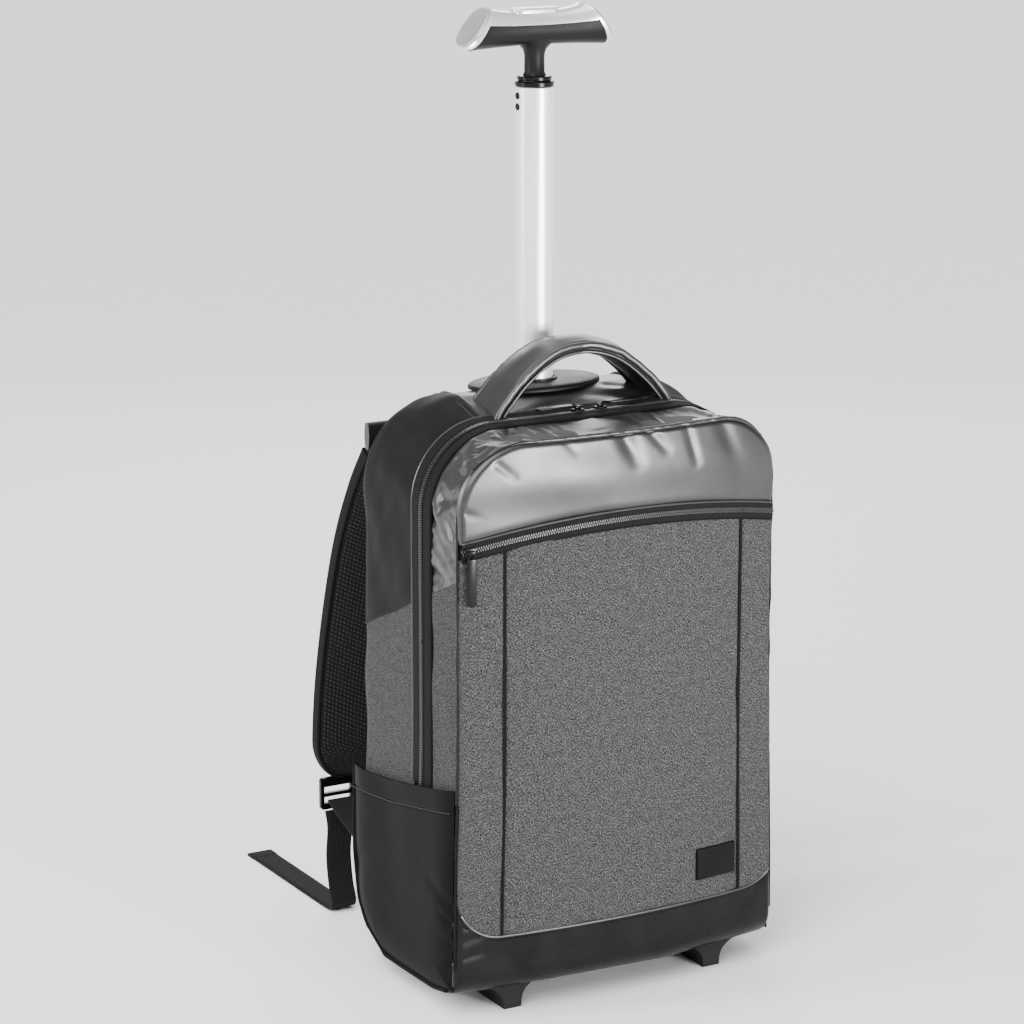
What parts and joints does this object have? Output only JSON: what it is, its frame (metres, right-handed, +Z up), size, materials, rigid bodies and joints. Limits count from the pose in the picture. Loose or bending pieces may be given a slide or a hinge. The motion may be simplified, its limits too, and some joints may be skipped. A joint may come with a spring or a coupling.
{
  "type": "rolling laptop case",
  "caption": "Upright fabric laptop backpack on wheels, with a telescoping centre mast and T-grip, a fold-open front, shoulder straps and a carry handle.",
  "frame": {"origin": "on the floor, below the centre of the whole object's box, the free strap tails left out", "axes": "+Z up, the front with the pocket faces -Y, +X to the right seen from the front"},
  "size_m": [0.322, 0.484, 0.831],
  "materials": {
    "heather_fabric": "melange polyester canvas, matt",
    "coated_fabric": "coated fabric with a satin shine",
    "smooth_fabric": "smooth dense polyester",
    "coarse_fabric": "coarse bottom canvas",
    "air_mesh": "three-dimensional air mesh over foam",
    "webbing": "ribbed polypropylene webbing and zip tape",
    "lining": "padded lining",
    "board": "polypropylene board",
    "black_plastic": "moulded, fine grain",
    "gloss_black": "smooth",
    "mast_aluminium": "satin anodised",
    "satin_silver": "satin silver lacquer",
    "axle_steel": "turned",
    "tyre": "moulded rubber"
  },
  "bodies": {
    "bag": {"side_panel_left": "heather_fabric", "side_panel_right": "heather_fabric", "top_panel": "smooth_fabric", "back_panel": "air_mesh", "bottom_panel": "coarse_fabric", "lower_front_section": "heather_fabric", "main_zip_tape_rear": "webbing", "front_pocket_lower": "heather_fabric", "side_pocket_left": "smooth_fabric", "side_pocket_right": "smooth_fabric", "frame_board": "board", "base_board": "board", "laptop_sleeve": "lining", "wheel_base": "black_plastic", "axle_left": "axle_steel", "axle_right": "axle_steel", "foot_left": "black_plastic", "foot_right": "black_plastic", "mast_outer_tube": "mast_aluminium", "mast_foot_block": "black_plastic", "mast_collar": "black_plastic", "strap_webbing_left": "webbing", "strap_webbing_right": "webbing", "strap_tab_left": "coarse_fabric", "strap_tab_right": "coarse_fabric", "strap_yoke": "coated_fabric", "label_patch": "gloss_black"},
    "flap": {"front_section": "smooth_fabric", "main_zip_tape_front": "webbing", "front_pocket_upper": "heather_fabric", "pocket_zip_tape": "webbing", "front_yoke": "coated_fabric"},
    "mast": {"mast_tube": "mast_aluminium", "mast_cap": "gloss_black", "mast_plug_upper": "gloss_black", "mast_plug_lower": "gloss_black", "grip_shell": "satin_silver", "grip_insert": "black_plastic", "grip_cap_left": "satin_silver", "grip_cap_right": "satin_silver"},
    "release_button": {"release_button": "satin_silver", "release_rod": "axle_steel"},
    "wheel_left": {"tyre_left": "tyre", "wheel_hub_left": "black_plastic"},
    "wheel_right": {"tyre_right": "tyre", "wheel_hub_right": "black_plastic"},
    "strap_left": {"strap_pad_left": "air_mesh", "ladder_lock_left": "gloss_black", "strap_tail_left": "webbing"},
    "strap_right": {"strap_pad_right": "air_mesh", "ladder_lock_right": "gloss_black", "strap_tail_right": "webbing"},
    "carry_handle": {"carry_handle": "coated_fabric"},
    "zip_slider_left": {"zip_slider_left": "gloss_black"},
    "zip_slider_right": {"zip_slider_right": "gloss_black"},
    "zip_puller_left": {"zip_puller_left": "gloss_black"},
    "zip_puller_right": {"zip_puller_right": "gloss_black"},
    "pocket_slider": {"pocket_zip_slider": "gloss_black"},
    "pocket_puller": {"pocket_zip_puller": "gloss_black"}
  },
  "joints": [
    {"name": "mast_slide", "type": "slide", "parent": "bag", "child": "mast", "axis": [0, 0, 1], "range_m": [-0.245, 0]},
    {"name": "release_button_press", "type": "slide", "parent": "mast", "child": "release_button", "axis": [0, 0, -1], "range_m": [0, 0.003], "stiffness_N_per_m": 400, "springref_m": -0.001},
    {"name": "wheel_left_spin", "type": "hinge", "parent": "bag", "child": "wheel_left", "pos_m": [-0.11, 0.032, 0.03], "axis": [1, 0, 0], "continuous": true},
    {"name": "wheel_right_spin", "type": "hinge", "parent": "bag", "child": "wheel_right", "pos_m": [0.11, 0.032, 0.03], "axis": [1, 0, 0], "continuous": true},
    {"name": "front_flap_fold", "type": "hinge", "parent": "bag", "child": "flap", "pos_m": [0, -0.1623, 0.19], "axis": [1, 0, 0], "range_deg": [0, 75]},
    {"name": "carry_handle_tilt", "type": "hinge", "parent": "bag", "child": "carry_handle", "pos_m": [0.004, -0.047, 0.505], "axis": [1, 0, 0], "range_deg": [-12, 20], "stiffness_Nm_per_rad": 0.4},
    {"name": "strap_left_swing", "type": "hinge", "parent": "bag", "child": "strap_left", "pos_m": [-0.105, 0.044, 0.458], "axis": [1, 0, 0], "range_deg": [0, 25]},
    {"name": "strap_right_swing", "type": "hinge", "parent": "bag", "child": "strap_right", "pos_m": [0.105, 0.044, 0.458], "axis": [1, 0, 0], "range_deg": [0, 25]},
    {"name": "main_zip_left_run", "type": "slide", "parent": "flap", "child": "zip_slider_left", "axis": [-1, 0, 0], "range_m": [0, 0.07]},
    {"name": "main_zip_right_run", "type": "slide", "parent": "flap", "child": "zip_slider_right", "axis": [1, 0, 0], "range_m": [0, 0.06]},
    {"name": "main_puller_left_lift", "type": "hinge", "parent": "zip_slider_left", "child": "zip_puller_left", "pos_m": [-0.003, -0.08, 0.5043], "axis": [0, 1, 0], "range_deg": [0, 100]},
    {"name": "main_puller_right_lift", "type": "hinge", "parent": "zip_slider_right", "child": "zip_puller_right", "pos_m": [0.019, -0.08, 0.5043], "axis": [0, -1, 0], "range_deg": [0, 100]},
    {"name": "pocket_zip_run", "type": "hinge", "parent": "flap", "child": "pocket_slider", "pos_m": [0, 0.21277, 0.03424], "axis": [0, 0.7195, 0.6945], "range_deg": [0, 31]},
    {"name": "pocket_puller_lift", "type": "hinge", "parent": "pocket_slider", "child": "pocket_puller", "pos_m": [-0.14591, -0.15303, 0.40813], "axis": [-0.9824, 0.1866, 0.0011], "range_deg": [0, 90]}
  ]
}
